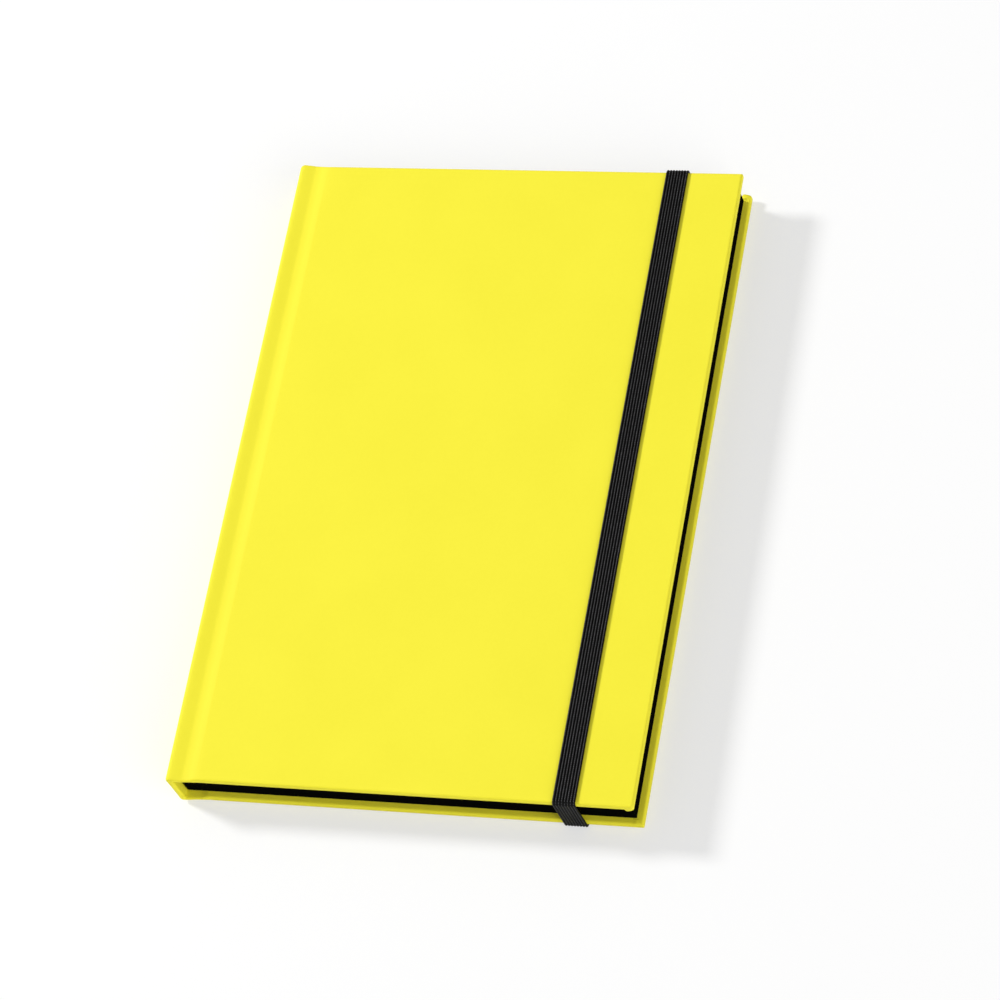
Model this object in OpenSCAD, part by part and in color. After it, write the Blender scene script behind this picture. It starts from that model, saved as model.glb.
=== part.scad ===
// Case-bound notebook: three boards in one wrapped sheet, a sewn page block
// with endpapers, and a flat elastic closure round both covers.
// It lies on its back cover. X runs from spine to fore-edge, Y from tail to head.

/* [Covers] */
// Width of the case, from the spine's face to the fore-edge
cover_w = 144; // [120:1:180]
// Height of the front and back covers
cover_h = 210; // [160:1:260]
// Thickness of the closed book over both covers, without the elastic
book_t = 15.5; // [12:0.5:24]
// Thickness of the front and back boards
board_t = 1.8; // [1.5:0.1:2.4]
// Thickness of the covering sheet
wrap_t = 0.3; // [0.2:0.05:0.35]
// Width of the sheet turned in over the boards' inner faces
turn_in = 13; // [10:0.5:14]
// Outer radius of the covers' folded edges
edge_r = 0.7; // [0.4:0.05:0.75]
// Radius of the covers' corners, seen from the front
corner_r = 0.8; // [0.8:0.05:1.6]
// Length of the small pad of tucked sheet inside each corner, along head or tail
tuck_l = 2.8; // [1:0.1:4]
// Width of that pad, in from head or tail
tuck_w = 1.9; // [1:0.1:2]
// Thickness of that pad
tuck_t = 0.8; // [0.3:0.1:1]
// Width of the mitre seam between two turn-ins
seam_w = 0.2; // [0.1:0.05:0.4]

/* [Spine and joints] */
// Thickness of the spine board
spine_board_t = 1.4; // [1:0.1:2]
// Width of the joint between the spine board and a cover board
joint_w = 7.8; // [6:0.2:10]
// Depth of the groove pressed into each joint
groove_d = 0.7; // [0.5:0.1:1.2]
// Radius of the groove's curves, at its bottom and beside both boards
groove_r = 3; // [2.5:0.25:4]
// Outer radius of the spine's two long edges
spine_r = 1.1; // [0.6:0.1:1.5]
// How far the spine and joints stand past the covers at head and tail
spine_over = 0.5; // [0.2:0.1:0.8]
// Free space between the page block's lining and the spine board
hollow = 0.5; // [0.2:0.1:1]

/* [Pages] */
// Overhang of the covers past the pages at head and tail
square_head = 2.1; // [2.1:0.1:4]
// Overhang of the covers past the pages at the fore-edge
square_fore = 2.2; // [2.1:0.1:4]
// Number of folded sections sewn into the block
section_count = 12; // [6:1:20]
// Thickness of one endpaper leaf
leaf_t = 0.15; // [0.1:0.05:0.25]
// Air between an endpaper's two leaves
leaf_gap = 0.05; // [0.02:0.01:0.1]
// Thickness of the gauze lining on the block's spine
lining_t = 0.2; // [0.1:0.05:0.2]
// Width of the lining's flaps on the boards
flap_w = 14; // [8:1:20]

/* [Elastic] */
// Width of the elastic
band_w = 7; // [5:0.5:10]
// Thickness of the elastic
band_t = 0.8; // [0.6:0.05:1]
// Number of rubber cords side by side in the elastic
cord_count = 8; // [5:1:10]
// Distance from the fore-edge to the middle of the elastic
band_inset = 20.5; // [18:0.5:40]
// Distance from a cover's head or tail to its slot
slot_inset = 16; // [15.5:0.5:30]
// Inner radius of the elastic's bends at the slots
slot_bend_r = 0.3; // [0.2:0.05:0.35]
// Length of each end glued inside the back cover
tab_l = 20; // [10:1:30]
// Side clearance of the elastic in its slots and seats
slot_clear = 0.3; // [0.1:0.05:0.6]
// Clearance between surfaces that only lie on each other
touch_gap = 0.05; // [0.02:0.01:0.1]

/* [Hidden] */
$fn = 64;
arc_steps = 4;
past = 1;

sheet_yellow = "#F8EF3C";
board_grey = "#8F8A80";
leaf_black = "#1B1B1C";
page_black = "#0C0C0D";
gauze_white = "#D9D6CC";
elastic_black = "#1A1A1C";

cover_t = board_t + 2 * wrap_t;
lift = band_t + touch_gap;
spine_x = -cover_w / 2;
fore_x = cover_w / 2;
joint_x = spine_x + wrap_t + spine_board_t;
board_x = joint_x + joint_w;
case_h = cover_h + 2 * spine_over;
inner_z = cover_t;
window_x = fore_x - turn_in;
window_h = cover_h - 2 * turn_in;
block_x = joint_x + hollow + lining_t + touch_gap;
block_fore_x = fore_x - square_fore;
block_h = cover_h - 2 * square_head;
block_z = inner_z + 2 * leaf_t + leaf_gap;
block_t = book_t - 2 * block_z;
flap_x = board_x + flap_w;

// The groove has two straight flanks between an outward curve beside each board
// and one inward curve at the bottom, all of one radius; groove_a is the flanks' slope
half_w = joint_w / 2;
groove_turn_r = min(groove_r, (pow(half_w, 2) + pow(groove_d, 2)) / (4 * groove_d));
groove_rise = 2 * groove_turn_r - groove_d;
groove_a = asin(2 * groove_turn_r / norm([half_w, groove_rise])) - atan2(groove_rise, half_w);
// At head and tail the joints' ends come in from the spine's height to the covers'
// along a curve that starts beside the spine board
joint_end_r = (pow(joint_w, 2) + pow(spine_over, 2)) / (2 * spine_over);

function arc(c, r, a0, a1, n = arc_steps) =
    [for (i = [0 : n]) let (a = a0 + (a1 - a0) * i / n) [c.x + r * cos(a), c.y + r * sin(a)]];
function mirrored(points) = [for (p = points) [p.x, book_t - p.y]];
function backwards(points) = [for (i = [len(points) - 1 : -1 : 0]) points[i]];

// Line of the sheet through the front joint, d below its outer face,
// from the board to the spine; a0 and a1 trim the two outward curves
function joint_line(d, a0 = 0, a1 = 0) = concat(
    arc([board_x, book_t - groove_turn_r], groove_turn_r - d, 90 + a0, 90 + groove_a),
    arc([joint_x + half_w, book_t - groove_d + groove_turn_r], groove_turn_r + d,
        270 + groove_a, 270 - groove_a),
    arc([joint_x, book_t - groove_turn_r], groove_turn_r - d, 90 - groove_a, 90 - a1));

// Section of the spine and joints where the sheet is turned in, boards included,
// with the spine's edges still square
module channel_section() {
    trim = asin(wrap_t / (groove_turn_r - 2 * wrap_t));
    outer = concat([[board_x, book_t]], joint_line(0), [[spine_x, book_t]]);
    inner = concat([[board_x, book_t - cover_t], [board_x - wrap_t, book_t - cover_t]],
                   joint_line(2 * wrap_t, trim, trim));
    polygon(concat(outer, backwards(mirrored(outer)), mirrored(inner), backwards(inner)));
}

// Section of what a single thickness of sheet encloses, up to the fore-edge
// turn-ins; it starts and ends inside the boards
module inside_section() {
    line = concat([[window_x, book_t - cover_t / 2], [board_x + wrap_t, book_t - cover_t / 2]],
                  joint_line(wrap_t), [[joint_x - spine_board_t / 2, book_t - 2 * wrap_t]]);
    polygon(concat(line, backwards(mirrored(line))));
}

// Extrudes an X-Z section along Y, over a height h centred on the book
module along_y(h) {
    translate([0, h / 2, 0]) rotate([90, 0, 0]) linear_extrude(h) children();
}

// Edge of a plate that reaches out to l, between z0 and z0 + t, with round corners
module edge_section(l, z0, t, r) {
    intersection() {
        translate([0, z0]) square([l, t]);
        union() {
            translate([0, z0]) square([l - r, t]);
            translate([0, z0 + r]) square([l, t - 2 * r]);
            for (z = [z0 + r, z0 + t - r])
                translate([l - r, z]) circle(r);
        }
    }
}

// Plate from x0 to the fore-edge at x1, round along head, tail and fore-edge
module cover_plate(x0, x1, h, z0, t, r, rc) {
    for (side = [0, 1]) mirror([0, side, 0])
        translate([x0, 0, 0]) rotate([90, 0, 90])
            linear_extrude(x1 - rc - x0) edge_section(h / 2, z0, t, r);
    along_y(h - 2 * rc)
        translate([x1 - 2 * rc, 0]) edge_section(2 * rc, z0, t, r);
    for (side = [-1, 1])
        translate([x1 - rc, side * (h / 2 - rc), 0])
            rotate_extrude() edge_section(rc, z0, t, r);
}

// A board inside the sheet, on the back cover
module board_blank() {
    cover_plate(board_x, fore_x - wrap_t, cover_h - 2 * wrap_t, wrap_t, board_t,
                edge_r - wrap_t, corner_r - wrap_t);
}

module spine_blank() {
    r = spine_r - wrap_t;
    along_y(case_h - 2 * wrap_t) intersection() {
        translate([spine_x + wrap_t, wrap_t]) square([spine_board_t, book_t - 2 * wrap_t]);
        union() {
            translate([spine_x + wrap_t + r, wrap_t]) square([spine_board_t, book_t - 2 * wrap_t]);
            translate([spine_x + wrap_t, wrap_t + r])
                square([spine_board_t, book_t - 2 * wrap_t - 2 * r]);
            for (z = [wrap_t + r, book_t - wrap_t - r])
                translate([spine_x + wrap_t + r, z]) circle(r);
        }
    }
}

module to_front() {
    translate([0, 0, book_t]) mirror([0, 0, 1]) children();
}

// Elastic in the Y-Z plane
band_x = fore_x - band_inset;
slot_y = cover_h / 2 - slot_inset;
slot_turn_r = slot_bend_r + band_t / 2;
edge_turn_r = edge_r + touch_gap + band_t / 2;
front_run_z = book_t + touch_gap + band_t / 2;
back_run_z = -touch_gap - band_t / 2;
tab_z = wrap_t + board_t - touch_gap - band_t / 2;
cord_pitch = (band_w - band_t) / (cord_count - 1);

// Cross-section of the elastic: x across its thickness, y across its width
module band_section() {
    web_t = band_t / 2;
    translate([-web_t / 2, -band_w / 2 + band_t / 2]) square([web_t, band_w - band_t]);
    for (i = [0 : cord_count - 1])
        translate([0, (i - (cord_count - 1) / 2) * cord_pitch]) circle(d = band_t);
}

// Straight elastic along Y from y0 to y1, at height z
module run_y(y0, y1, z) {
    translate([band_x, y0, z]) rotate([0, -90, -90]) linear_extrude(y1 - y0) band_section();
}

// Straight elastic up Z from z0 to z1, at y
module run_z(y, z0, z1) {
    translate([band_x, y, z0]) rotate([0, 0, 90]) linear_extrude(z1 - z0) band_section();
}

// Quarter bend about an X axis through y, z, from angle a (0 points to +Y, 90 to +Z)
module bend(y, z, r, a) {
    translate([band_x, y, z]) rotate([90, 0, 90]) rotate([0, 0, a])
        rotate_extrude(angle = 90) translate([r, 0]) band_section();
}

// Elastic at the head: from its glued end, through the slot, to the front cover
module band_end() {
    turn_y = cover_h / 2 - edge_r;
    run_y(slot_y - slot_turn_r - tab_l, slot_y - slot_turn_r, tab_z);
    bend(slot_y - slot_turn_r, tab_z - slot_turn_r, slot_turn_r, 0);
    run_z(slot_y, back_run_z + slot_turn_r, tab_z - slot_turn_r);
    bend(slot_y + slot_turn_r, back_run_z + slot_turn_r, slot_turn_r, 180);
    run_y(slot_y + slot_turn_r, turn_y, back_run_z);
    bend(turn_y, edge_r, edge_turn_r, 270);
    run_z(turn_y + edge_turn_r, edge_r, book_t - edge_r);
    bend(turn_y, book_t - edge_r, edge_turn_r, 0);
}

// Slot for the elastic, through the back cover
module slot_cut() {
    l = 2 * (slot_turn_r + touch_gap);
    w = band_w + 2 * slot_clear;
    translate([band_x - w / 2, slot_y - l / 2, -past]) cube([w, l, cover_t + 2 * past]);
}

// Seat pressed into the back board by the elastic's glued end
module tab_seat() {
    l = tab_l + slot_turn_r + slot_clear;
    w = band_w + 2 * slot_clear;
    translate([band_x - w / 2, slot_y - l, tab_z - band_t / 2 - touch_gap])
        cube([w, l, band_t + past]);
}

module at_both_ends() {
    for (side = [0, 1]) mirror([0, side, 0]) children();
}

module front_board() {
    color(board_grey) to_front() board_blank();
}

module back_board() {
    color(board_grey) difference() {
        board_blank();
        at_both_ends() slot_cut();
        at_both_ends() tab_seat();
    }
}

module spine_board() {
    color(board_grey) spine_blank();
}

// Corner of a cover inside the sheet's fold: the tucked pad and the mitre seam
module tuck_pad() {
    intersection() {
        cover_plate(fore_x - turn_in, fore_x, cover_h, cover_t - edge_r,
                    edge_r + tuck_t, min(edge_r, (edge_r + tuck_t) / 2 - touch_gap), corner_r);
        translate([fore_x - tuck_l, cover_h / 2 - tuck_w, 0])
            cube([tuck_l + past, tuck_w + past, cover_t + tuck_t]);
    }
}

module mitre_seam() {
    translate([fore_x, cover_h / 2, cover_t - wrap_t]) rotate([0, 0, 225])
        translate([tuck_w * sqrt(2), -seam_w / 2, 0])
            cube([(turn_in - tuck_w) * sqrt(2), seam_w, wrap_t + past]);
}

// Waste past the swept end of a joint, which keeps the covers' round edges
module end_sweep() {
    translate([joint_x, case_h / 2 - joint_end_r, 0]) difference() {
        translate([0, 0, -past]) cube([joint_w + past, joint_end_r + past, book_t + 2 * past]);
        rotate_extrude() edge_section(joint_end_r, 0, book_t, edge_r);
    }
}

// Sheet and spine board together: the section, inside a block with round edges
module channel() {
    difference() {
        intersection() {
            along_y(case_h) channel_section();
            translate([0, 0, book_t / 2]) rotate([90, 0, 0]) mirror([1, 0, 0])
                cover_plate(-board_x - past, -spine_x, book_t, -case_h / 2, case_h, edge_r, spine_r);
        }
        at_both_ends() end_sweep();
    }
}

module cover_wrap() {
    color(sheet_yellow) difference() {
        union() {
            channel();
            for (k = [0, 1]) translate([0, 0, k * book_t]) mirror([0, 0, k]) {
                cover_plate(board_x - wrap_t, fore_x, cover_h, 0, cover_t, edge_r, corner_r);
                at_both_ends() tuck_pad();
            }
        }
        to_front() board_blank();
        board_blank();
        spine_blank();
        along_y(window_h) inside_section();
        at_both_ends() slot_cut();
        at_both_ends() mitre_seam();
        to_front() at_both_ends() mitre_seam();
    }
}

// Folded endpaper on the back cover: one leaf pasted down, one leaf on the block.
// The pasted leaf is pressed into the window between the turn-ins.
module endpaper() {
    seat_x = flap_x + slot_clear;
    seat_l = window_x - slot_clear - seat_x;
    seat_h = window_h - 2 * slot_clear;
    fold_r = leaf_t + leaf_gap / 2;
    fold_x = block_x + fold_r;
    difference() {
        union() {
            translate([fold_x, -block_h / 2, inner_z])
                cube([block_fore_x - fold_x, block_h, leaf_t]);
            translate([seat_x, -seat_h / 2, inner_z - wrap_t])
                cube([seat_l, seat_h, wrap_t + leaf_t]);
        }
        translate([seat_x + leaf_t, -seat_h / 2 + leaf_t, inner_z - wrap_t + leaf_t])
            cube([seat_l - 2 * leaf_t, seat_h - 2 * leaf_t, wrap_t + past]);
    }
    translate([fold_x, -block_h / 2, inner_z + leaf_t + leaf_gap])
        cube([block_fore_x - fold_x, block_h, leaf_t]);
    translate([fold_x, 0, inner_z + fold_r]) difference() {
        rotate([90, 0, 0]) cylinder(r = fold_r, h = block_h, center = true);
        rotate([90, 0, 0]) cylinder(r = leaf_gap / 2, h = block_h + past, center = true);
        translate([0, -block_h / 2 - past, -fold_r - past])
            cube([fold_r + past, block_h + 2 * past, 2 * (fold_r + past)]);
    }
}

module front_endpaper() {
    color(leaf_black) to_front() endpaper();
}

module back_endpaper() {
    color(leaf_black) endpaper();
}

// Trimmed pages with the round backs of the sewn sections along the spine
module text_block() {
    pitch = block_t / section_count;
    back_depth = pitch / 4;
    color(page_black) along_y(block_h) {
        translate([block_x + back_depth, block_z])
            square([block_fore_x - block_x - back_depth, block_t]);
        for (i = [0 : section_count - 1])
            translate([block_x + pitch / 2, block_z + (i + 0.5) * pitch]) circle(d = pitch);
    }
}

// Gauze on the block's spine, with a flap pasted to each board
module spine_lining() {
    lining_x = block_x - touch_gap - lining_t;
    flap_z = inner_z - wrap_t;
    color(gauze_white) along_y(window_h - 2 * slot_clear) {
        translate([lining_x, flap_z]) square([lining_t, book_t - 2 * flap_z]);
        for (z = [flap_z, book_t - flap_z - lining_t])
            translate([lining_x, z]) square([flap_x - lining_x, lining_t]);
    }
}

module elastic_band() {
    color(elastic_black) {
        at_both_ends() band_end();
        run_y(-cover_h / 2 + edge_r, cover_h / 2 - edge_r, front_run_z);
    }
}

translate([0, 0, lift]) {
    front_board();
    back_board();
    spine_board();
    cover_wrap();
    front_endpaper();
    back_endpaper();
    text_block();
    spine_lining();
    elastic_band();
}
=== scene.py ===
"""Case-bound notebook: a folded paper case, a sewn page block and a woven elastic."""

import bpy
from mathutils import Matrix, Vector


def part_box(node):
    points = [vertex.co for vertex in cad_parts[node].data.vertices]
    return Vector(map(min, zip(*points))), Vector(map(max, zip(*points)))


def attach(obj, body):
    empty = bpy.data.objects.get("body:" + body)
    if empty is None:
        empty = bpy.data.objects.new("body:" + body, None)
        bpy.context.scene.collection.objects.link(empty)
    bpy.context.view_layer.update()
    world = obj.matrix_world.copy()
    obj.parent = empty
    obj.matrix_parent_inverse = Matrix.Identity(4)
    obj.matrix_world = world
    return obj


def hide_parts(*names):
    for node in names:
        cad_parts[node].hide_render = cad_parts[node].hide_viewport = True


bl_info = {
    "name": "Case-bound notebook",
    "version": (1, 0, 0),
    "blender": (4, 5, 0),
    "location": "3D View > Sidebar > Notebook",
    "description": "Covers, pages and elastic of a hardcover notebook, with its studio",
    "category": "Add Mesh",
}

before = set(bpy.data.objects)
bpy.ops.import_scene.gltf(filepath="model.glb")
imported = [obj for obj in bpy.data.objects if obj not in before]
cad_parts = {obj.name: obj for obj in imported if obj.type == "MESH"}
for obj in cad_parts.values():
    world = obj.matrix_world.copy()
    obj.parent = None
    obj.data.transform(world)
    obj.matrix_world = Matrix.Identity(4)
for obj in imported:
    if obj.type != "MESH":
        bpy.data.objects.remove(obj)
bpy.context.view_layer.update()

import math

import bmesh
import bpy
from mathutils import Matrix, Vector, noise

WRAP_LOW, WRAP_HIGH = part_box("cover_wrap")
BAND_LOW, BAND_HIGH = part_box("elastic_band")
BLOCK_LOW, BLOCK_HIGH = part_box("text_block")
MM = 0.001
CLEAR = 0.05 * MM  # air that the elastic keeps from what it lies on
MERGE = 0.002 * MM  # points nearer than this are one point


def linear(code):
    """An sRGB hex colour as linear red, green and blue."""
    parts = [int(code[i:i + 2], 16) / 255 for i in (1, 3, 5)]
    return [c / 12.92 if c <= 0.04045 else ((c + 0.055) / 1.055) ** 2.4 for c in parts]


def length(name, description, default):
    """A size in metres, shown in the scene's own unit."""
    return bpy.props.FloatProperty(name=name, description=description, default=default,
                                   min=0.0, precision=5, subtype="DISTANCE", unit="LENGTH")


def colour(name, description, code):
    """A colour given as sRGB hex."""
    return bpy.props.FloatVectorProperty(name=name, description=description, size=3,
                                         default=linear(code), min=0.0, max=1.0, subtype="COLOR")


class NotebookSizes(bpy.types.PropertyGroup):
    """Sizes of the solids that the pieces fit, and of the folded sheet's finer forms."""
    cover_t: length("Cover thickness", "Board and two layers of sheet", 2.4 * MM)
    sheet_t: length("Sheet thickness", "Covering sheet", 0.3 * MM)
    turn_in: length("Turn-in", "Sheet folded over a board's inner face", 13 * MM)
    edge_r: length("Edge radius", "Outer radius of a folded edge", 0.7 * MM)
    corner_r: length("Corner radius", "Loose cover corner, seen from the front", 0.65 * MM)
    crisp_r: length("Crisp corner radius", "Tightly pulled cover corner", 0.35 * MM)
    tuck_l: length("Tuck length", "Tucked sheet in a corner, along head or tail", 2.8 * MM)
    tuck_w: length("Tuck width", "Tucked sheet, in from head or tail", 1.9 * MM)
    tuck_t: length("Tuck thickness", "How far the tucked sheet swells a corner", 0.8 * MM)
    spine_board_t: length("Spine board", "Thickness of the spine board", 1.4 * MM)
    spine_r: length("Spine radius", "Outer radius of the spine's long edges", 1.1 * MM)
    spine_over: length("Spine overhang", "Spine past the covers at head and tail", 0.5 * MM)
    joint_w: length("Joint width", "Joint between spine board and cover board", 7.8 * MM)
    groove_d: length("Groove depth", "Groove pressed into each joint", 0.7 * MM)
    groove_from: length("Groove start", "From the spine's face to the groove", 1.2 * MM)
    groove_low: length("Groove bottom", "From the spine's face to its lowest line", 5.45 * MM)
    groove_to: length("Groove end", "From the spine's face to the flat of the cover", 11.4 * MM)
    joint_t: length("Joint thickness", "From the cover's face to the turn-in that bridges a joint",
                    1.85 * MM)
    slot_y: length("Slot place", "Middle of a slot, from the middle of the cover", 89 * MM)
    slot_w: length("Slot width", "Slot for the elastic, across the cover", 7.6 * MM)
    slot_l: length("Slot length", "Slot for the elastic, along the cover", 1.5 * MM)
    band_t: length("Elastic thickness", "Over the cords", 0.8 * MM)
    slot_bend_r: length("Slot bend", "Inner radius of the elastic at a slot", 0.3 * MM)
    tab_l: length("Glued end", "Elastic glued inside the back cover", 20 * MM)


class NotebookColours(bpy.types.PropertyGroup):
    """Colours of the finishes."""
    sheet: colour("Covering sheet", "Fluorescent yellow", "#F8EE3B")
    sheet_shade: colour("Sheet variation", "Its slightly greener fibres", "#F5EB38")
    page: colour("Page edges", "Black edges", "#010101")
    page_light: colour("Page edge lines", "Edges of single leaves", "#070708")
    endpaper: colour("Endpapers", "Black paper", "#111112")
    board: colour("Grey board", "Pulp board", "#8F8A80")
    gauze: colour("Gauze", "Lining on the page block", "#D9D6CC")
    elastic: colour("Elastic", "Black yarn in the valleys", "#020202")
    # Painted highlight: the light grey painted along one side of each rib's crown
    elastic_painted_highlight: colour("Elastic yarn", "Yarn on the crowns of the ribs", "#77777A")
    floor: colour("Floor", "Studio table", "#F6F6F6")


def add_node(tree, kind, inputs=None, links=None, **settings):
    """Adds one node with its settings, input values and links."""
    node = tree.nodes.new(kind)
    for key, value in settings.items():
        setattr(node, key, value)
    for key, value in (inputs or {}).items():
        node.inputs[key].default_value = value
    for key, socket in (links or {}).items():
        tree.links.new(socket, node.inputs[key])
    return node


def new_material(name):
    """An empty node material and its output node."""
    material = bpy.data.materials.new(name)
    material.use_nodes = True
    tree = material.node_tree
    tree.nodes.clear()
    return material, tree, add_node(tree, "ShaderNodeOutputMaterial")


def rgba(value):
    """A colour with full opacity."""
    return (*value, 1.0)


def bands(pitch):
    """Scale of a wave texture whose bands are one pitch apart."""
    return math.tau / 20 / pitch


def ramp(tree, factor, low, high, low_at=0.0, high_at=1.0):
    """A colour ramp between two colours."""
    node = add_node(tree, "ShaderNodeValToRGB", links={"Fac": factor})
    node.color_ramp.elements[0].position = low_at
    node.color_ramp.elements[0].color = rgba(low)
    node.color_ramp.elements[1].position = high_at
    node.color_ramp.elements[1].color = rgba(high)
    return node


def coated_paper(colours):
    """Fluorescent coated paper, rolled on and pressed: an even, dense colour with a
    fine calendered grain and a soft satin sheen on its folded edges."""
    material, tree, out = new_material("fluorescent_coated_paper_pressed")
    coords = add_node(tree, "ShaderNodeTexCoord").outputs["Object"]
    # Fibre clumps of about 1.1 mm, coarser than real ones so that they show
    fibre = add_node(tree, "ShaderNodeTexNoise",
                     {"Scale": 900.0, "Detail": 4.0, "Roughness": 0.6}, {"Vector": coords})
    # Slow change of tone over about 22 mm, from uneven glue
    cloud = add_node(tree, "ShaderNodeTexNoise", {"Scale": 45.0, "Detail": 3.0},
                     {"Vector": coords})
    both = add_node(tree, "ShaderNodeMath", {1: 0.6}, {0: fibre.outputs["Fac"]},
                    operation="MULTIPLY")
    total = add_node(tree, "ShaderNodeMath", None,
                     {0: both.outputs[0], 1: cloud.outputs["Fac"]}, operation="ADD")
    tint = ramp(tree, total.outputs[0], colours.sheet_shade, colours.sheet, 0.45, 1.0)
    rough = add_node(tree, "ShaderNodeMapRange", {"To Min": 0.58, "To Max": 0.68},
                     {"Value": fibre.outputs["Fac"]})
    bump = add_node(tree, "ShaderNodeBump", {"Strength": 0.12, "Distance": 0.06 * MM},
                    {"Height": total.outputs[0]})
    shader = add_node(tree, "ShaderNodeBsdfPrincipled",
                      {"IOR": 1.45, "Specular IOR Level": 0.15},
                      {"Base Color": tint.outputs[0], "Roughness": rough.outputs[0],
                       "Normal": bump.outputs[0]})
    tree.links.new(shader.outputs[0], out.inputs["Surface"])
    return material


def trimmed_edges(colours):
    """Dyed paper, cut in one stroke by a guillotine: matte black with fine lines
    where single leaves meet."""
    material, tree, out = new_material("dyed_paper_guillotined")
    coords = add_node(tree, "ShaderNodeTexCoord").outputs["Object"]
    # Leaf lines 0.11 mm apart and about 17 mm long
    flat = add_node(tree, "ShaderNodeMapping", {"Scale": (60.0, 60.0, 9000.0)},
                    {"Vector": coords})
    leaves = add_node(tree, "ShaderNodeTexNoise", {"Scale": 1.0, "Detail": 2.0},
                      {"Vector": flat.outputs[0]})
    # Knife nicks 0.4 mm apart, down the whole block
    knife = add_node(tree, "ShaderNodeMapping", {"Scale": (2600.0, 2600.0, 40.0)},
                     {"Vector": coords})
    nicks = add_node(tree, "ShaderNodeTexNoise", {"Scale": 1.0, "Detail": 3.0},
                     {"Vector": knife.outputs[0]})
    tint = ramp(tree, leaves.outputs["Fac"], colours.page, colours.page_light, 0.42, 0.80)
    mixed = add_node(tree, "ShaderNodeMath", {1: 0.3}, {0: nicks.outputs["Fac"]},
                     operation="MULTIPLY")
    height = add_node(tree, "ShaderNodeMath", None,
                      {0: leaves.outputs["Fac"], 1: mixed.outputs[0]}, operation="ADD")
    bump = add_node(tree, "ShaderNodeBump", {"Strength": 0.5, "Distance": 0.08 * MM},
                    {"Height": height.outputs[0]})
    shader = add_node(tree, "ShaderNodeBsdfPrincipled",
                      {"Roughness": 0.95, "Specular IOR Level": 0.015},
                      {"Base Color": tint.outputs[0], "Normal": bump.outputs[0]})
    tree.links.new(shader.outputs[0], out.inputs["Surface"])
    return material


def fibre_paper(name, base, light, rough, grain):
    """Uncoated stock: short fibres in all directions, with no gloss. Grain is the
    number of fibre clumps in a metre."""
    material, tree, out = new_material(name)
    coords = add_node(tree, "ShaderNodeTexCoord").outputs["Object"]
    fibre = add_node(tree, "ShaderNodeTexNoise",
                     {"Scale": grain, "Detail": 6.0, "Roughness": 0.7, "Distortion": 0.6},
                     {"Vector": coords})
    speck = add_node(tree, "ShaderNodeTexVoronoi", {"Scale": grain * 1.5}, {"Vector": coords})
    height = add_node(tree, "ShaderNodeMath", None,
                      {0: fibre.outputs["Fac"], 1: speck.outputs["Distance"]},
                      operation="MULTIPLY")
    tint = ramp(tree, fibre.outputs["Fac"], base, light, 0.35, 0.75)
    bump = add_node(tree, "ShaderNodeBump", {"Strength": 0.4, "Distance": 0.08 * MM},
                    {"Height": height.outputs[0]})
    shader = add_node(tree, "ShaderNodeBsdfPrincipled",
                      {"Roughness": rough, "Specular IOR Level": 0.1},
                      {"Base Color": tint.outputs[0], "Normal": bump.outputs[0]})
    tree.links.new(shader.outputs[0], out.inputs["Surface"])
    return material


def open_gauze(colours):
    """Cotton gauze, woven open and stiffened with glue: a grid of off-white threads."""
    material, tree, out = new_material("cotton_gauze_woven")
    coords = add_node(tree, "ShaderNodeTexCoord").outputs["Object"]
    weave = []
    # Threads 0.98 mm apart both ways, as open as such gauze is
    for axis in ("X", "Y"):
        weave.append(add_node(tree, "ShaderNodeTexWave",
                              {"Scale": 320.0, "Distortion": 0.4, "Detail": 1.0},
                              {"Vector": coords}, wave_type="BANDS", bands_direction=axis))
    threads = add_node(tree, "ShaderNodeMath", None,
                       {0: weave[0].outputs["Fac"], 1: weave[1].outputs["Fac"]},
                       operation="MAXIMUM")
    shade = [c * 0.72 for c in colours.gauze]
    tint = ramp(tree, threads.outputs[0], shade, colours.gauze, 0.3, 0.8)
    bump = add_node(tree, "ShaderNodeBump", {"Strength": 0.6, "Distance": 0.1 * MM},
                    {"Height": threads.outputs[0]})
    shader = add_node(tree, "ShaderNodeBsdfPrincipled", {"Roughness": 0.9},
                      {"Base Color": tint.outputs[0], "Normal": bump.outputs[0]})
    tree.links.new(shader.outputs[0], out.inputs["Surface"])
    return material


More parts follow.
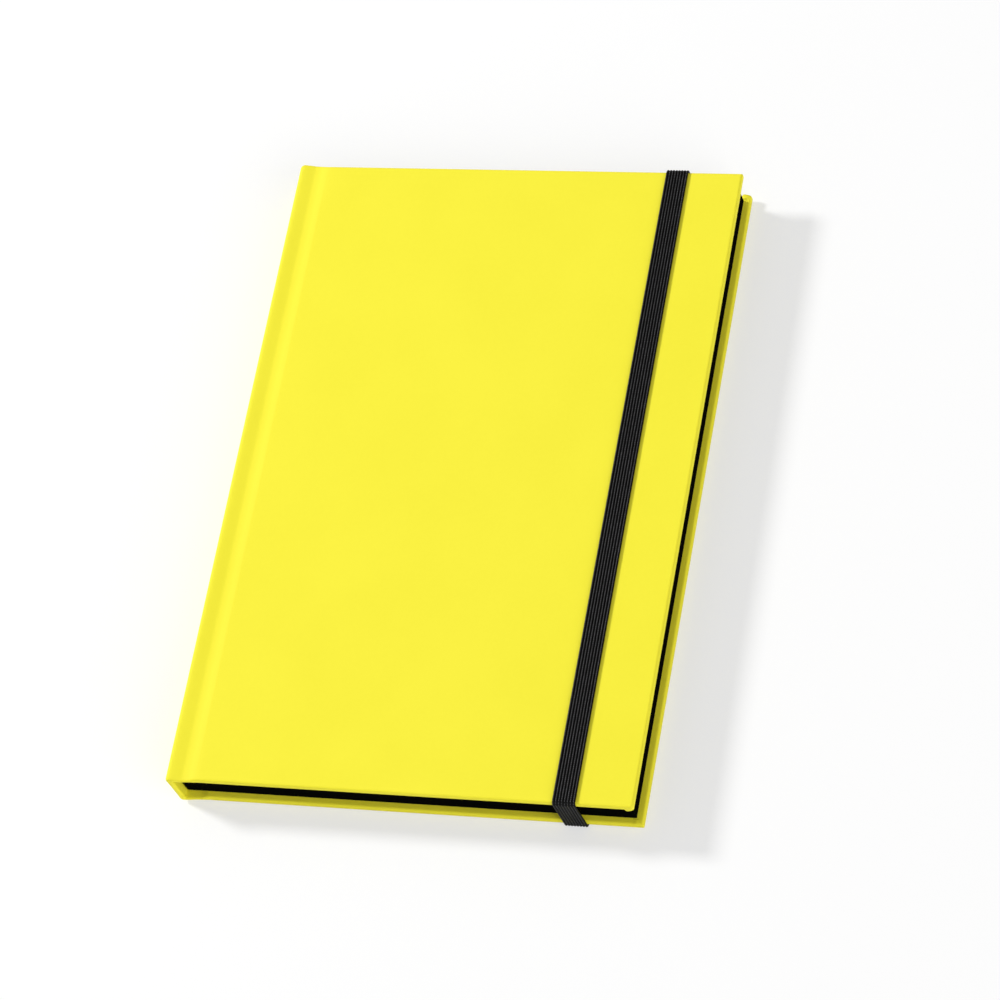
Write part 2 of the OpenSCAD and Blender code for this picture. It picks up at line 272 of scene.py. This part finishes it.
def woven_elastic(colours):
    """Polyester yarn woven round rubber cords: black ribs in short slanted stitches, with
    deep black valleys between them and a painted highlight, light grey, along one side of
    each rib's crown. Its map has one unit for each rib across the strap, and one for each stitch
    along it."""
    material, tree, out = new_material("polyester_elastic_woven")
    uv = add_node(tree, "ShaderNodeUVMap", uv_map="yarn").outputs["UV"]
    # Painted highlight: bands along one side of each rib's crown, shifted by the phase offset
    crown_highlight = add_node(tree, "ShaderNodeTexWave", {"Scale": bands(1.0), "Phase Offset": 0.35},
                     {"Vector": uv}, wave_type="BANDS", bands_direction="X")
    stitch = add_node(tree, "ShaderNodeTexWave",
                      {"Scale": bands(0.5), "Distortion": 0.8, "Detail": 1.0,
                       "Detail Scale": 1.5},
                      {"Vector": uv}, wave_type="BANDS", bands_direction="DIAGONAL")
    fuzz = add_node(tree, "ShaderNodeTexNoise", {"Scale": 3.0, "Detail": 3.0}, {"Vector": uv})
    yarn = add_node(tree, "ShaderNodeMath", {1: 0.25}, {0: stitch.outputs["Fac"]},
                    operation="MULTIPLY")
    wear = add_node(tree, "ShaderNodeMath", None,
                    {0: yarn.outputs[0], 1: fuzz.outputs["Fac"]}, operation="ADD")
    yarn_and_highlight = add_node(tree, "ShaderNodeMath", None,
                   {0: wear.outputs[0], 1: crown_highlight.outputs["Fac"]}, operation="MULTIPLY")
    # Black yarn, and the painted highlight on the crowns broken up by the stitches
    tint = ramp(tree, yarn_and_highlight.outputs[0], colours.elastic, colours.elastic_painted_highlight, 0.55, 1.1)
    bump = add_node(tree, "ShaderNodeBump", {"Strength": 0.6, "Distance": 0.08 * MM},
                    {"Height": wear.outputs[0]})
    shader = add_node(tree, "ShaderNodeBsdfPrincipled",
                      {"Roughness": 0.45, "Specular IOR Level": 0.12},
                      {"Base Color": tint.outputs[0], "Normal": bump.outputs[0]})
    tree.links.new(shader.outputs[0], out.inputs["Surface"])
    return material


def studio_floor(colours):
    """Matte white sweep: it takes the shadow, and shows white to the camera elsewhere."""
    material, tree, out = new_material("matte_white_sweep")
    coords = add_node(tree, "ShaderNodeTexCoord").outputs["Object"]
    grain = add_node(tree, "ShaderNodeTexNoise", {"Scale": 60.0, "Detail": 2.0},
                     {"Vector": coords})
    shade = [c * 0.995 for c in colours.floor]
    tint = ramp(tree, grain.outputs["Fac"], shade, colours.floor)
    diffuse = add_node(tree, "ShaderNodeBsdfDiffuse", None, {"Color": tint.outputs[0]})
    path = add_node(tree, "ShaderNodeLightPath")
    share = add_node(tree, "ShaderNodeMath", {1: 0.5}, {0: path.outputs["Is Camera Ray"]},
                     operation="MULTIPLY")
    glow = add_node(tree, "ShaderNodeEmission", {"Strength": 1.05})
    seen = add_node(tree, "ShaderNodeMixShader", None,
                    {0: share.outputs[0], 1: diffuse.outputs[0], 2: glow.outputs[0]})
    tree.links.new(seen.outputs[0], out.inputs["Surface"])
    return material


def finish(bm, name, material, replaced, smooth=True):
    """Turns a bmesh in metres into a piece that rides on the notebook."""
    mesh = bpy.data.meshes.new(name)
    bm.to_mesh(mesh)
    bm.free()
    mesh.materials.append(material)
    piece = bpy.data.objects.new(name, mesh)
    bpy.context.scene.collection.objects.link(piece)
    if smooth:
        mesh.shade_smooth()
    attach(piece, "root")
    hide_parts(*replaced)
    return piece


def draw_rows(bm, first, rows, closed=False):
    """Extrudes a chain of points row by row and returns the vertices of each row."""
    verts = [bm.verts.new(p) for p in first]
    count = len(verts)
    last = count if closed else count - 1
    edges = [bm.edges.new((verts[i], verts[(i + 1) % count])) for i in range(last)]
    table = [verts]
    for row in rows:
        made = bmesh.ops.extrude_edge_only(bm, edges=edges)["geom"]
        copy_of = {}
        fresh = {v for v in made if isinstance(v, bmesh.types.BMVert)}
        for vert in table[-1]:
            for edge in vert.link_edges:
                other = edge.other_vert(vert)
                if other in fresh:
                    copy_of[vert] = other
        verts = [copy_of[v] for v in table[-1]]
        for vert, point in zip(verts, row):
            vert.co = point
        edges = [bm.edges.get((verts[i], verts[(i + 1) % count])) for i in range(last)]
        table.append(verts)
    return table


def smooth_step(value):
    """Eases from 0 to 1 as the value does."""
    value = min(max(value, 0.0), 1.0)
    return value * value * (3 - 2 * value)


def ease_run(run, whole, rise, fall):
    """Share of a slope's height at a run: it steepens over rise and flattens over fall."""
    run = min(max(run, 0.0), whole)
    full = whole - (rise + fall) / 2
    if run < rise:
        return run * run / (2 * rise * full)
    if run > whole - fall:
        return 1 - (whole - run) ** 2 / (2 * fall * full)
    return (run - rise / 2) / full


class CaseShape:
    """Lines of the folded case, in metres, from the sizes and the frame."""

    def __init__(self, sizes):
        self.s = sizes
        self.low = WRAP_LOW[2]
        self.high = WRAP_HIGH[2]
        self.spine_x = WRAP_LOW[0]
        self.fore_x = WRAP_HIGH[0]
        self.half_h = WRAP_HIGH[1] - sizes.spine_over
        self.joint_x = self.spine_x + sizes.sheet_t + sizes.spine_board_t
        self.board_x = self.joint_x + sizes.joint_w
        self.sweep_r = (sizes.joint_w ** 2 + sizes.spine_over ** 2) / (2 * sizes.spine_over)
        # Where the flat of the cover ends at head and tail, and the lines across it
        reach = self.half_h - 1.3 * sizes.edge_r
        strips = 17
        self.cross_lines = [reach * (2 * j / strips - 1) for j in range(1, strips)]

    def groove(self, x):
        """Depth of the outer face at x: short flanks by the spine, long ones by the board."""
        s = self.s
        x -= self.spine_x
        down = ease_run(x - s.groove_from, s.groove_low - s.groove_from, 1.0 * MM, 0.85 * MM)
        up = ease_run(x - s.groove_low, s.groove_to - s.groove_low, 2.4 * MM, 3.2 * MM)
        return s.groove_d * (down - up)

    def dip_lines(self):
        """Lines along the cover where its outer face still dips towards the joint."""
        end = self.spine_x + self.s.groove_to
        steps = 5
        return [self.board_x + (end - self.board_x) * i / steps for i in range(steps + 1)]

    def over(self, x):
        """How far spine and joints stand past the covers at x."""
        run = max(x - self.joint_x, 0.0)
        return self.s.spine_over - self.sweep_r + math.sqrt(self.sweep_r ** 2 - run * run)

    def half_chain(self):
        """Outer points, inner points, dip of the outer face and length past the cover,
        from the front cover to the middle of the spine; each point is x and depth."""
        s = self.s
        sheet = s.sheet_t
        inner_x = self.joint_x + sheet
        bridge_w = 3 * MM
        lines = 32
        rows = []
        for i in range(lines + 1):
            x = self.board_x - i / lines * (self.board_x - inner_x)
            bridge = smooth_step((self.board_x - x) / bridge_w)
            inner = s.cover_t + (s.joint_t - s.cover_t) * bridge
            rows.append(((x, 0.0), (x, inner), self.groove(x), self.over(x)))
        outer = [(x, 0.0) for x in (self.joint_x, self.joint_x - 0.8 * sheet,
                                    self.spine_x + s.spine_r + 0.3 * sheet)]
        steps = 7
        for i in range(steps + 1):
            a = math.pi / 2 * i / steps
            outer.append((self.spine_x + s.spine_r * (1 - math.sin(a)),
                          s.spine_r * (1 - math.cos(a))))
        start, end = s.joint_t, s.joint_t + 6 * sheet
        outer += [(self.spine_x, s.spine_r + sheet), (self.spine_x, end)]
        for i, point in enumerate(outer):
            share = (i + 1) / len(outer)
            dip = self.groove(point[0]) if point[1] == 0.0 else 0.0
            rows.append((point, (inner_x, start + (end - start) * share), dip, s.spine_over))
        return rows

    def chain(self):
        """The whole chain from the front cover round the spine to the back cover."""
        front = [((o[0], self.high - o[1]), (i[0], self.high - i[1]), -dip, over)
                 for o, i, dip, over in self.half_chain()]
        total = self.high + self.low
        back = [((o[0], total - o[1]), (i[0], total - i[1]), -dip, over)
                for o, i, dip, over in front]
        return front + back[::-1]

    def fold(self, thick, radius=None):
        """Way of the sheet round a folded edge: pairs of inset and depth, from the
        support line on the outer face past the one on the inner face to the line
        where a corner's swell has ended."""
        r = min(radius or self.s.edge_r, thick / 2)
        support = r + 0.3 * self.s.edge_r
        steps = 5
        path = [(support, 0.0)]
        for i in range(steps + 1):
            a = math.pi / 2 * i / steps
            path.append((r * (1 - math.sin(a)), r * (1 - math.cos(a))))
        for i in range(steps + 1):
            a = math.pi / 2 * i / steps
            path.append((r * (1 - math.cos(a)), thick - r * (1 - math.sin(a))))
        swell_end = 1.95 * MM
        shares = (0.0, 0.28, 0.47, 0.62, 0.76, 0.86, 1.0)
        return path + [(support + (swell_end - support) * share, thick) for share in shares]


def build_channel(bm, shape):
    """Spine and both joints: the chain goes from the tail turn-in to the head one.
    Returns the outer face's first and last column, where the covers join it."""
    s = shape.s
    items = []
    for outer, inner, dip, over in shape.chain():
        way = Vector((inner[0] - outer[0], inner[1] - outer[1]))
        thick = way.length
        rounder = s.spine_r if outer[0] < shape.spine_x + s.spine_r else s.edge_r
        items.append((outer, way.normalized(), dip, shape.half_h + over, thick,
                      shape.fold(thick), shape.fold(thick, rounder)))

    def point(item, side, inset, depth):
        """A point of one item of the chain, at tail or head."""
        outer, way, dip, end, thick = item[:5]
        return (outer[0] + way.x * depth, side * (end - inset),
                outer[1] + way.y * depth + dip * (1 - depth / thick))

    rows = [[point(item, -1, s.turn_in, item[4]) for item in items]]
    steps = len(items[0][5])
    for k in range(steps - 1, -1, -1):
        rows.append([point(item, -1, *item[5][k]) for item in items])
    for y in shape.cross_lines:
        rows.append([(item[0][0], y, item[0][1] + item[2]) for item in items])
    for k in range(steps):
        rows.append([point(item, 1, *item[6][k]) for item in items])
    rows.append([point(item, 1, s.turn_in, item[4]) for item in items])
    table = draw_rows(bm, rows[0], rows[1:])
    middle = table[steps + 1:steps + 1 + len(shape.cross_lines)]
    return [row[0] for row in middle], [row[-1] for row in middle]


def build_plate(bm, shape, top, column, swell, corners):
    """One cover's sheet: its edge is drawn round tail, fore-edge and head. The tucked
    sheet swells the inner side of each fore corner; swell scales it at tail and head,
    and corners are the radii there. Column is the side where it joins the spine."""
    s = shape.s
    steps = 6
    # Lines beside each corner, close together where the swell ends
    near = [e * MM for e in (3.4, 3.0, 2.8, 2.7, 2.6, 2.5, 2.3, 1.9, 1.4, 0.9, 0.4)]
    least_r = 0.1 * MM
    soft = 0.3 * MM
    rounding = 2.4 * MM

    def tucked(x, y, depth):
        """A point of the sheet, moved by the groove and by the tuck's swell."""
        side = -1 if y < 0 else 1
        end = shape.half_h - abs(y)
        reach = shape.fore_x - x
        share = (smooth_step((s.tuck_l - reach) / soft) * smooth_step((reach + soft) / rounding)
                 * smooth_step((s.tuck_w - end) / soft)
                 * smooth_step(2 * depth / s.cover_t - 1) * swell[y > 0])
        depth += s.tuck_t * share + shape.groove(x) * (1 - depth / s.cover_t)
        y += side * 0.2 * s.tuck_t * share * smooth_step(1 - end / s.tuck_w)
        return (x, y, shape.high - depth if top else shape.low + depth)

    def outline(inset, depth):
        """The plate's edge from the joint's tail round to its head."""
        radii = [max(r - inset, least_r) for r in corners]
        x, y = shape.fore_x - inset, shape.half_h - inset
        plan = [(e, -y) for e in shape.dip_lines()] + [(x - radii[0] - e, -y) for e in near]
        for side, r, start in ((-1, radii[0], -math.pi / 2), (1, radii[1], 0.0)):
            for i in range(steps + 1):
                a = start + math.pi / 2 * i / steps
                plan.append((x - r + r * math.cos(a), side * (y - r) + r * math.sin(a)))
            if side < 0:
                plan += [(x, -y + radii[0] + e) for e in near[::-1]]
                plan += [(x, y - radii[1] - e) for e in near]
        plan += [(x - radii[1] - e, y) for e in near[::-1]]
        plan += [(e, y) for e in shape.dip_lines()[::-1]]
        return [tucked(*p, depth) for p in plan]

    rows = [outline(*p) for p in shape.fold(s.cover_t)]
    table = draw_rows(bm, rows[0], rows[1:])
    bm.faces.new(table[0] + column)
    # The turn-in: three flaps that meet at the mitres with a fine gap
    last = table[-1]
    mitre = len(shape.dip_lines()) + len(near) + steps // 2
    head_mitre = mitre + steps + 1 + 2 * len(near)
    gap = 0.1 * MM
    x_in, y_in = shape.fore_x - s.turn_in, shape.half_h - s.turn_in
    x_out, y_out, z = last[mitre].co.x, -last[mitre].co.y, last[mitre].co.z
    along_x = (x_in - gap - shape.board_x) / (x_out - shape.board_x)
    along_y = (y_in - gap) / y_out

    def to_x(v):
        """A flap's inner point, drawn in towards the joint."""
        return shape.board_x + (v.co.x - shape.board_x) * along_x

    flaps = ((last[:mitre + 1], lambda v: (to_x(v), -y_in, z)),
             (last[mitre:head_mitre + 1], lambda v: (x_in, v.co.y * along_y, z)),
             (last[head_mitre:], lambda v: (to_x(v), y_in, z)))
    for verts, place in flaps:
        edges = [bm.edges.get((verts[i], verts[i + 1])) for i in range(len(verts) - 1)]
        made = bmesh.ops.extrude_edge_only(bm, edges=edges)["geom"]
        for vert in [v for v in made if isinstance(v, bmesh.types.BMVert)]:
            vert.co = place(vert)


def cut_lines(shape, band_x):
    """Planes that cut the covers' flat faces: point and normal of each. The last ones
    are the sides of the slots."""
    s = shape.s
    along_x, along_y = Vector((1, 0, 0)), Vector((0, 1, 0))
    strips = 12
    span = shape.fore_x - shape.board_x
    cuts = [(Vector((0, y, 0)), along_y) for y in shape.cross_lines]
    cuts += [(Vector((x, 0, 0)), along_x) for x in shape.dip_lines()[1:]]
    cuts += [(Vector((shape.board_x + span * i / strips, 0, 0)), along_x)
             for i in range(1, strips)]
    for side in (-1, 1):
        cuts.append((Vector((band_x + side * s.slot_w / 2, 0, 0)), along_x))
        for end in (-1, 1):
            y = side * s.slot_y + end * s.slot_l / 2
            cuts.append((Vector((0, y, 0)), along_y))
    return cuts


class NOTEBOOK_OT_cover_sheet(bpy.types.Operator):
    """Fold the covering sheet round both boards and the spine"""
    bl_idname = "notebook.cover_sheet"
    bl_label = "Covering sheet"

    def execute(self, context):
        s = context.scene.notebook_sizes
        shape = CaseShape(s)
        band_x = (BAND_LOW[0] + BAND_HIGH[0]) / 2
        bm = bmesh.new()
        front_column, back_column = build_channel(bm, shape)
        # Swell and corner radius at tail and head, each as full or tight as the real one's
        build_plate(bm, shape, True, front_column[::-1], swell=(1.2, 0.4),
                    corners=(s.corner_r, s.crisp_r))
        build_plate(bm, shape, False, back_column[::-1], swell=(0.25, 0.9),
                    corners=(s.crisp_r, s.corner_r))
        bmesh.ops.remove_doubles(bm, verts=bm.verts[:], dist=MERGE)
        for place, normal in cut_lines(shape, band_x):
            bmesh.ops.bisect_plane(bm, geom=bm.verts[:] + bm.edges[:] + bm.faces[:],
                                   dist=MERGE / 2, plane_co=place, plane_no=normal)
        slots = []
        for face in bm.faces:
            c = face.calc_center_median()
            if (abs(c.x - band_x) < s.slot_w / 2 and abs(abs(c.y) - s.slot_y) < s.slot_l / 2
                    and c.z < shape.low + 0.1 * s.cover_t):
                slots.append(face)
        bmesh.ops.delete(bm, geom=slots, context="FACES")
        bmesh.ops.recalc_face_normals(bm, faces=bm.faces[:])
        # The sheet is open, so its outside is settled by its highest face
        highest = max(bm.faces, key=lambda f: f.calc_center_median().z * 100 + f.calc_area())
        if highest.normal.z < 0:
            bmesh.ops.reverse_faces(bm, faces=bm.faces[:])
        piece = finish(bm, "cover_sheet", coated_paper(context.scene.notebook_colours),
                       ["cover_wrap"])
        # A little thinner than the solid's sheet, so that it stays clear of the boards
        shell = piece.modifiers.new("sheet", "SOLIDIFY")
        shell.thickness = s.sheet_t * 0.97
        shell.offset = -1.0
        shell.use_even_offset = True
        return {"FINISHED"}


class NOTEBOOK_OT_page_block(bpy.types.Operator):
    """Stack the trimmed leaves of the sewn sections"""
    bl_idname = "notebook.page_block"
    bl_label = "Page block"

    def execute(self, context):
        sections = 12
        leaves = 8
        uneven = 0.02 * MM
        low, high = Vector(BLOCK_LOW), Vector(BLOCK_HIGH)
        pitch = (high.z - low.z) / sections
        leaf = pitch / leaves
        bm = bmesh.new()
        for k in range(sections * leaves):
            z = low.z + (k + 0.5) * leaf
            # Each section's back is round, so its outer leaves start further in
            off = ((k % leaves) + 0.5) * leaf - pitch / 2
            back = low.x + pitch / 2 - math.sqrt(max((pitch / 2) ** 2 - off * off, 0.0))
            trim = uneven * noise.noise(Vector((k * 0.37, 1.7, 0.2)))
            ends = uneven * noise.noise(Vector((k * 0.29, 5.1, 0.9)))
            size = Vector((high.x - back - 2 * abs(trim),
                           high.y - low.y - 2 * abs(ends), leaf * 0.94))
            centre = Vector(((high.x + back) / 2 - abs(trim), (high.y + low.y) / 2 + ends, z))
            place = Matrix.Translation(centre) @ Matrix.Diagonal((*size, 1.0))
            bmesh.ops.create_cube(bm, size=1.0, matrix=place)
        finish(bm, "page_block", trimmed_edges(context.scene.notebook_colours),
               ["text_block"], smooth=False)
        return {"FINISHED"}


RIB_STEPS = 8  # parts of one rib's round, on each side of the strap


def rib_section(s, width):
    """Outline of the strap: rubber cords side by side, joined by thin webs."""
    cords = 8
    half_t = s.band_t / 2
    pitch = (width - s.band_t) / (cords - 1)
    web = half_t * 0.2
    start = math.asin(web / half_t)
    section = []
    for i in range(cords):
        centre = (i - (cords - 1) / 2) * pitch
        first = math.pi - start if i else math.pi
        last = start if i < cords - 1 else 0.0
        for j in range(RIB_STEPS + 1):
            a = first + (last - first) * j / RIB_STEPS
            section.append((centre + half_t * math.cos(a), half_t * math.sin(a)))
    under = [(x, -z) for x, z in section[::-1]]
    return section + under[1:-1]


def strap_line(s, low, high):
    """Middle line of the strap in Y and Z, from one glued end round to the other."""
    half_t = s.band_t / 2
    slot_r = s.slot_bend_r + half_t
    edge_r = high.z - WRAP_HIGH[2] - half_t + s.edge_r
    turn_y = WRAP_HIGH[1] - s.spine_over - s.edge_r
    front_z = high.z - half_t
    back_z = low.z + half_t
    tab_z = WRAP_LOW[2] + s.cover_t - s.sheet_t - CLEAR - half_t
    # Turns at the head: centre, radius, first and last angle
    arcs = [((s.slot_y - slot_r, tab_z - slot_r), slot_r, 90, 0),
            ((s.slot_y + slot_r, back_z + slot_r), slot_r, 180, 270),
            ((turn_y, back_z + edge_r), edge_r, 270, 360),
            ((turn_y, front_z - edge_r), edge_r, 0, 90)]
    points = [Vector((s.slot_y - slot_r - s.tab_l, tab_z))]
    turns = 10
    for (cy, cz), r, a0, a1 in arcs:
        for j in range(turns + 1):
            a = math.radians(a0 + (a1 - a0) * j / turns)
            points.append(Vector((cy + r * math.cos(a), cz + r * math.sin(a))))
    points += [Vector((-p.x, p.y)) for p in points[::-1]]
    longest = 12 * MM
    line = []
    for a, b in zip(points, points[1:]):
        parts = max(1, int((b - a).length / longest))
        line += [a.lerp(b, i / parts) for i in range(parts)]
    return line + [points[-1]]


class NOTEBOOK_OT_elastic(bpy.types.Operator):
    """Run the woven elastic round both covers and into its slots"""
    bl_idname = "notebook.elastic"
    bl_label = "Elastic"

    def execute(self, context):
        s = context.scene.notebook_sizes
        low, high = Vector(BAND_LOW), Vector(BAND_HIGH)
        middle = (low.x + high.x) / 2
        stitch = 0.6 * MM
        loop = rib_section(s, high.x - low.x)
        line = strap_line(s, low, high)
        rows, run = [], []
        total = 0.0
        for i, p in enumerate(line):
            before = line[max(i - 1, 0)]
            after = line[min(i + 1, len(line) - 1)]
            total += (p - before).length
            run.append(total)
            along = (after - before).normalized()
            across = Vector((-along.y, along.x))
            rows.append([(middle + x, p.x + across.x * z, p.y + across.y * z)
                         for x, z in loop])
        bm = bmesh.new()
        table = draw_rows(bm, rows[0], rows[1:], closed=True)
        layer = bm.loops.layers.uv.new("yarn")
        place = {v: (i, j) for i, row in enumerate(table) for j, v in enumerate(row)}
        for face in bm.faces:
            around = [place[corner.vert][1] for corner in face.loops]
            wraps = max(around) - min(around) > 1
            for corner in face.loops:
                i, j = place[corner.vert]
                j = j + len(loop) if wraps and j == 0 else j
                corner[layer].uv = (j / (RIB_STEPS + 1), run[i] / stitch)
        for row in (table[0], table[-1]):
            bm.faces.new(row)
        bmesh.ops.recalc_face_normals(bm, faces=bm.faces[:])
        finish(bm, "elastic_strap", woven_elastic(context.scene.notebook_colours),
               ["elastic_band"])
        return {"FINISHED"}


class NOTEBOOK_OT_inner_pieces(bpy.types.Operator):
    """Give the boards, endpapers and lining their finishes"""
    bl_idname = "notebook.inner_pieces"
    bl_label = "Boards and endpapers"

    def execute(self, context):
        colours = context.scene.notebook_colours
        dark = [c * 0.75 for c in colours.board]
        board = fibre_paper("grey_board_pressed", dark, colours.board, 0.95, 500.0)
        light = [c * 1.8 for c in colours.endpaper]
        leaf = fibre_paper("black_paper_uncoated", colours.endpaper, light, 0.88, 1400.0)
        gauze = open_gauze(colours)
        finishes = {"front_board": board, "back_board": board, "spine_board": board,
                    "front_endpaper": leaf, "back_endpaper": leaf, "spine_lining": gauze}
        for node, material in finishes.items():
            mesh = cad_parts[node].data
            mesh.materials.clear()
            mesh.materials.append(material)
        return {"FINISHED"}


FLOOR_HALF = 6.0  # metres from the notebook to the floor's edge
DAYLIGHT = 0.30  # strength of the even light from all round
# Each lamp's name, place in metres, width in metres and power in watts
LAMPS = (("window", (-2.11, 0.67, 1.60), 0.5, 62.8),
         ("overhead", (-0.5, 0.4, 1.9), 1.6, 1.7),
         ("fill", (2.0, -1.52, 1.28), 2.4, 41.5))
CAMERA_AT = (0.42702568, -0.56469523, 1.15567206)
CAMERA_AIM = (-0.30923402, 0.41679754, -0.85478309)
CAMERA_UP = (-0.03916752, 0.89249412, 0.44935526)
CAMERA_LENS = 160.917
SENSOR = 36.0


class NOTEBOOK_OT_studio(bpy.types.Operator):
    """Set the floor, the lamps and the camera"""
    bl_idname = "notebook.studio"
    bl_label = "Studio"

    def execute(self, context):
        scene = context.scene
        scene.view_settings.view_transform = "Standard"
        bm = bmesh.new()
        bmesh.ops.create_grid(bm, x_segments=1, y_segments=1, size=FLOOR_HALF)
        mesh = bpy.data.meshes.new("floor")
        bm.to_mesh(mesh)
        bm.free()
        mesh.materials.append(studio_floor(scene.notebook_colours))
        floor = bpy.data.objects.new("floor", mesh)
        scene.collection.objects.link(floor)
        world = bpy.data.worlds.new("studio")
        world.use_nodes = True
        back = world.node_tree.nodes["Background"]
        back.inputs["Color"].default_value = (1.0, 1.0, 1.0, 1.0)
        back.inputs["Strength"].default_value = DAYLIGHT
        scene.world = world
        for lamp in LAMPS:
            self.lamp(*lamp)
        data = bpy.data.cameras.new("camera")
        data.sensor_width = SENSOR
        data.lens = CAMERA_LENS
        camera = bpy.data.objects.new("camera", data)
        scene.collection.objects.link(camera)
        aim = Vector(CAMERA_AIM).normalized()
        right = aim.cross(Vector(CAMERA_UP)).normalized()
        up = right.cross(aim)
        turn = Matrix((right, up, -aim)).transposed().to_4x4()
        camera.matrix_world = Matrix.Translation(CAMERA_AT) @ turn
        scene.camera = camera
        return {"FINISHED"}

    def lamp(self, name, place, size, power):
        """A round soft lamp that points at the notebook."""
        data = bpy.data.lights.new(name, "AREA")
        data.shape = "DISK"
        data.size = size
        data.energy = power
        lamp = bpy.data.objects.new(name, data)
        lamp.matrix_world = Matrix.Translation(place) @ (
            -Vector(place)).to_track_quat("-Z", "Y").to_matrix().to_4x4()
        bpy.context.scene.collection.objects.link(lamp)


class NOTEBOOK_PT_sidebar(bpy.types.Panel):
    """Buttons, sizes and colours of the notebook"""
    bl_idname = "NOTEBOOK_PT_sidebar"
    bl_label = "Notebook"
    bl_space_type = "VIEW_3D"
    bl_region_type = "UI"
    bl_category = "Notebook"

    def draw(self, context):
        """Lists the buttons, then every size and colour."""
        for operator in OPERATORS:
            self.layout.operator(operator.bl_idname)
        for group in (context.scene.notebook_sizes, context.scene.notebook_colours):
            column = self.layout.column()
            for name in group.__annotations__:
                column.prop(group, name)


OPERATORS = (NOTEBOOK_OT_cover_sheet, NOTEBOOK_OT_page_block, NOTEBOOK_OT_elastic,
             NOTEBOOK_OT_inner_pieces, NOTEBOOK_OT_studio)
CLASSES = (NotebookSizes, NotebookColours, *OPERATORS, NOTEBOOK_PT_sidebar)


def register():
    """Adds the notebook's classes and its sizes and colours."""
    for item in CLASSES:
        bpy.utils.register_class(item)
    bpy.types.Scene.notebook_sizes = bpy.props.PointerProperty(type=NotebookSizes)
    bpy.types.Scene.notebook_colours = bpy.props.PointerProperty(type=NotebookColours)


def unregister():
    """Takes them out again."""
    del bpy.types.Scene.notebook_colours
    del bpy.types.Scene.notebook_sizes
    for item in reversed(CLASSES):
        bpy.utils.unregister_class(item)


def main():
    """Builds the notebook and its studio."""
    register()
    bpy.ops.notebook.cover_sheet()
    bpy.ops.notebook.page_block()
    bpy.ops.notebook.elastic()
    bpy.ops.notebook.inner_pieces()
    bpy.ops.notebook.studio()
    bpy.context.view_layer.update()


if __name__ == "__main__":
    main()
